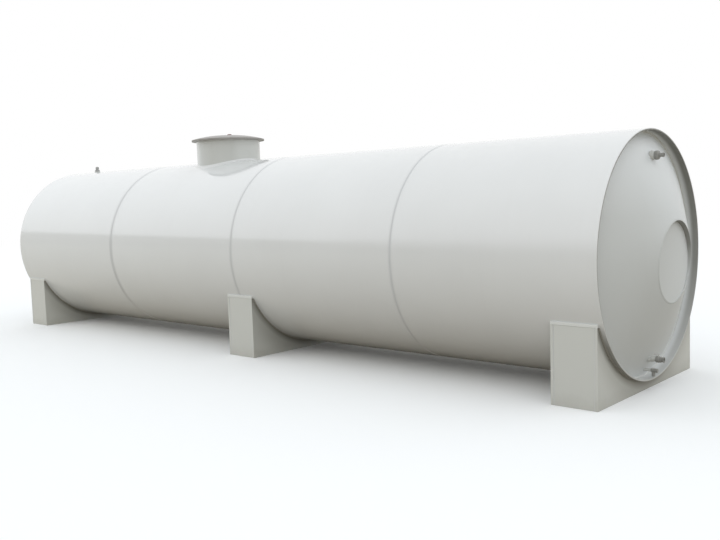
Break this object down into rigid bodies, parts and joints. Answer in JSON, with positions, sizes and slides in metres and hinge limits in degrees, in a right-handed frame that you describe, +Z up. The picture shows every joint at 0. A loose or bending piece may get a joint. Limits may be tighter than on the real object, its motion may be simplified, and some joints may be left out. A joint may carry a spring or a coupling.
{
  "type": "horizontal polypropylene storage tank",
  "caption": "Horizontal cylindrical plastic storage tank on box saddles, with welded shell courses, coned ends, a manhole with lid, a vent and end fittings.",
  "frame": {"origin": "on the floor under the middle of the tank, level with the undersides of the saddles", "axes": "+X along the tank to the end with the fittings, +Y across it, +Z up"},
  "size_m": [8.8662, 1.9998, 2.4],
  "materials": {
    "shell_sheet": "satin polypropylene sheet",
    "end_sheet": "satin polypropylene sheet",
    "saddle_sheet": "matt polypropylene sheet",
    "manhole_sheet": "satin polypropylene sheet",
    "pipe_pale": "moulded polypropylene",
    "fitting_dark": "moulded dark plastic",
    "knob_red": "moulded dark red plastic"
  },
  "bodies": {
    "root": {"shell_course_1": "shell_sheet", "shell_course_2": "shell_sheet", "shell_course_3": "shell_sheet", "shell_course_4": "shell_sheet", "near_end_cone": "end_sheet", "near_end_collar": "end_sheet", "near_end_disc": "end_sheet", "far_end_cone": "end_sheet", "far_end_collar": "end_sheet", "far_end_disc": "end_sheet", "near_saddle_outer_side": "saddle_sheet", "near_saddle_inner_side": "saddle_sheet", "near_saddle_front": "saddle_sheet", "near_saddle_back": "saddle_sheet", "near_saddle_base": "saddle_sheet", "near_saddle_strips": "saddle_sheet", "middle_saddle_outer_side": "saddle_sheet", "middle_saddle_inner_side": "saddle_sheet", "middle_saddle_front": "saddle_sheet", "middle_saddle_back": "saddle_sheet", "middle_saddle_base": "saddle_sheet", "middle_saddle_strips": "saddle_sheet", "far_saddle_outer_side": "saddle_sheet", "far_saddle_inner_side": "saddle_sheet", "far_saddle_front": "saddle_sheet", "far_saddle_back": "saddle_sheet", "far_saddle_base": "saddle_sheet", "far_saddle_strips": "saddle_sheet", "manhole_neck": "manhole_sheet", "manhole_flange": "manhole_sheet", "manhole_lid": "manhole_sheet", "manhole_knob": "knob_red", "vent_pipe": "pipe_pale", "vent_socket": "pipe_pale", "vent_collar": "fitting_dark", "vent_cap": "fitting_dark", "upper_nozzle_pipe": "pipe_pale", "upper_nozzle_nut": "fitting_dark", "upper_nozzle_tail": "fitting_dark", "lower_valve_pipe": "pipe_pale", "lower_valve_body": "fitting_dark", "lower_valve_outlet": "fitting_dark", "lower_valve_lever": "pipe_pale", "drain_pipe": "pipe_pale", "drain_elbow": "fitting_dark"}
  },
  "joints": []
}
